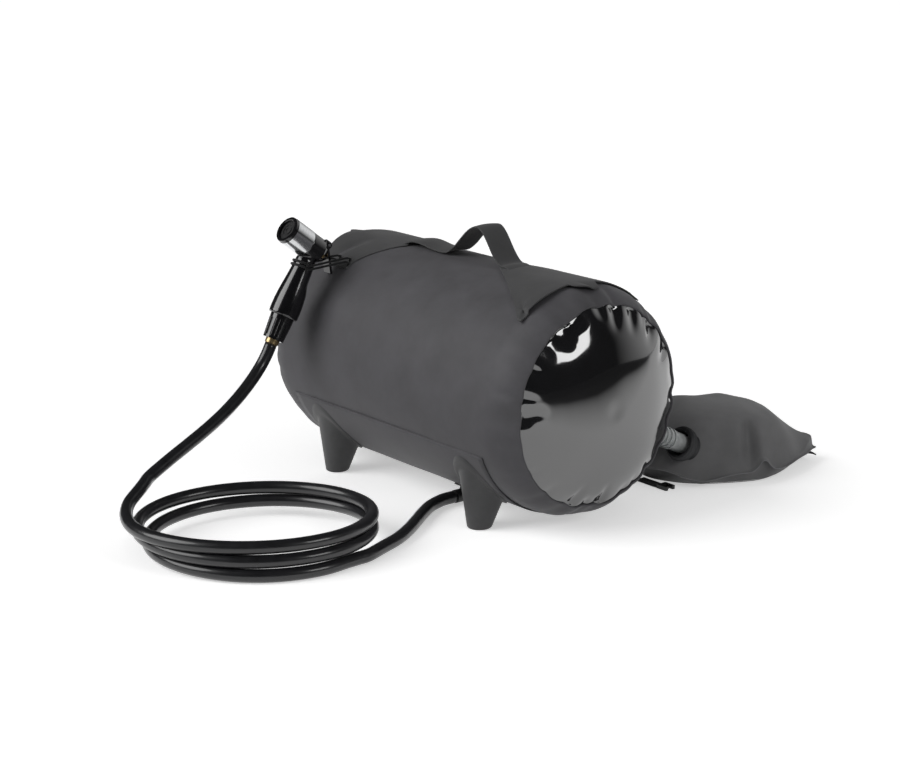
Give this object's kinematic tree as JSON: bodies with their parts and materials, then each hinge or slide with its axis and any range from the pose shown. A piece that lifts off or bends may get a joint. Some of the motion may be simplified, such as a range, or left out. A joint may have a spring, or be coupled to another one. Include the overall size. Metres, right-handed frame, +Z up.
{
  "type": "camp shower pump",
  "caption": "Soft pressurised camp shower: fabric tank on moulded feet with a foot pump, coiled hose, hand sprayer in elastic loops, carrying strap and screw filling cap",
  "frame": {"origin": "on the ground, under the middle of the box round the object without its hose", "axes": "+X along the tank towards its glossy end, +Y from the sprayer's side towards the pump, +Z up"},
  "size_m": [0.509, 0.8152, 0.301],
  "materials": {
    "coated_fabric": "matt coated fabric, dark grey",
    "gloss_film": "glossy black film",
    "moulded_foot": "matt moulded dark grey",
    "strap_fabric": "woven dark grey",
    "elastic": "black elastic cord",
    "moulded_black": "satin black",
    "sprayer_black": "gloss black",
    "bright_chrome": "bright chrome",
    "ferrule_brass": "plain brass",
    "pin_steel": "bright steel",
    "soft_rubber": "matt black rubber",
    "hose_vinyl": "gloss black vinyl",
    "clear_vinyl": "clear vinyl",
    "pump_sponge": "open grey foam"
  },
  "bodies": {
    "tank": {"tank_body": "coated_fabric", "window_end_panel": "gloss_film", "fill_end_panel": "coated_fabric", "base_panel": "coated_fabric", "foot_front_left": "moulded_foot", "foot_front_right": "moulded_foot", "foot_rear_left": "moulded_foot", "foot_rear_right": "moulded_foot", "left_patch": "strap_fabric", "right_patch": "strap_fabric", "carry_strap": "strap_fabric", "holster_tab": "strap_fabric", "holster_cord_upper": "elastic", "holster_cord_lower": "elastic", "fill_neck": "moulded_black", "outlet_elbow": "moulded_black", "outlet_nut": "moulded_black", "inlet_valve": "moulded_black", "air_connector": "clear_vinyl", "outlet_port": "soft_rubber", "pump_base": "coated_fabric", "pump_bag": "coated_fabric", "pump_foam": "pump_sponge", "intake_collar": "soft_rubber", "pump_web_strap": "strap_fabric", "pump_buckle": "moulded_black", "pump_corner_tab": "strap_fabric", "hose_riser": "hose_vinyl", "hose_coil": "hose_vinyl", "hose_tail": "hose_vinyl"},
    "sprayer": {"sprayer_body": "sprayer_black", "chrome_sleeve": "bright_chrome", "spray_bezel": "sprayer_black", "spray_face": "sprayer_black", "lever_pin": "pin_steel", "valve_seat": "soft_rubber", "valve_spring": "pin_steel", "hose_ferrule": "ferrule_brass", "hose_washer": "soft_rubber"},
    "lever": {"thumb_lever": "sprayer_black"},
    "stem": {"valve_stem": "ferrule_brass"},
    "nut": {"collar_nut": "sprayer_black"},
    "seal": {"cap_seal": "soft_rubber"},
    "cap": {"fill_cap": "moulded_black"},
    "tread": {"pump_top_panel": "coated_fabric"},
    "inlet_check": {"inlet_flap": "soft_rubber"},
    "intake_check": {"intake_flap": "soft_rubber"}
  },
  "joints": [
    {"name": "sprayer_lift", "type": "slide", "parent": "tank", "child": "sprayer", "axis": [0, 0.4848, 0.8746], "range_m": [0, 0.12], "deforming": ["hose_riser", "holster_cord_upper", "holster_cord_lower"]},
    {"name": "lever_squeeze", "type": "hinge", "parent": "sprayer", "child": "lever", "pos_m": [-0.1305, -0.19539, 0.26413], "axis": [-1, 0, 0], "range_deg": [0, 20], "stiffness_Nm_per_rad": 0.4, "springref_deg": -11.46},
    {"name": "stem_push", "type": "slide", "parent": "sprayer", "child": "stem", "axis": [0, -0.7986, 0.6018], "range_m": [0, 0.0064], "deforming": ["valve_spring"]},
    {"name": "nut_turn", "type": "hinge", "parent": "sprayer", "child": "nut", "pos_m": [-0.1305, -0.26823, 0.1645], "axis": [0, 0.4848, 0.8746], "continuous": true},
    {"name": "cap_lift", "type": "slide", "parent": "tank", "child": "seal", "axis": [-1, 0, 0], "range_m": [0, 0.006]},
    {"name": "cap_turn", "type": "hinge", "parent": "seal", "child": "cap", "pos_m": [-0.2315, -0.10338, 0.136], "axis": [-1, 0, 0], "range_deg": [0, 540]},
    {"name": "pump_press", "type": "slide", "parent": "tank", "child": "tread", "axis": [0, 0, -1], "range_m": [0, 0.028], "stiffness_N_per_m": 600, "springref_m": -0.01, "deforming": ["pump_bag", "pump_foam"]},
    {"name": "inlet_swing", "type": "hinge", "parent": "tank", "child": "inlet_check", "pos_m": [0.1765, 0.00749, 0.09847], "axis": [-1, 0, 0], "range_deg": [0, 35], "stiffness_Nm_per_rad": 0.002, "springref_deg": -11.46},
    {"name": "intake_swing", "type": "hinge", "parent": "tank", "child": "intake_check", "pos_m": [0.08057, 0.12295, 0.03431], "axis": [0, 1, 0], "range_deg": [0, 30], "stiffness_Nm_per_rad": 0.004, "springref_deg": -22.92}
  ],
  "couplings": [
    {"joint": "stem_push", "follows": "lever_squeeze", "m_per_rad": 0.016615},
    {"joint": "cap_lift", "follows": "cap_turn", "m_per_rad": 0.0006365}
  ]
}
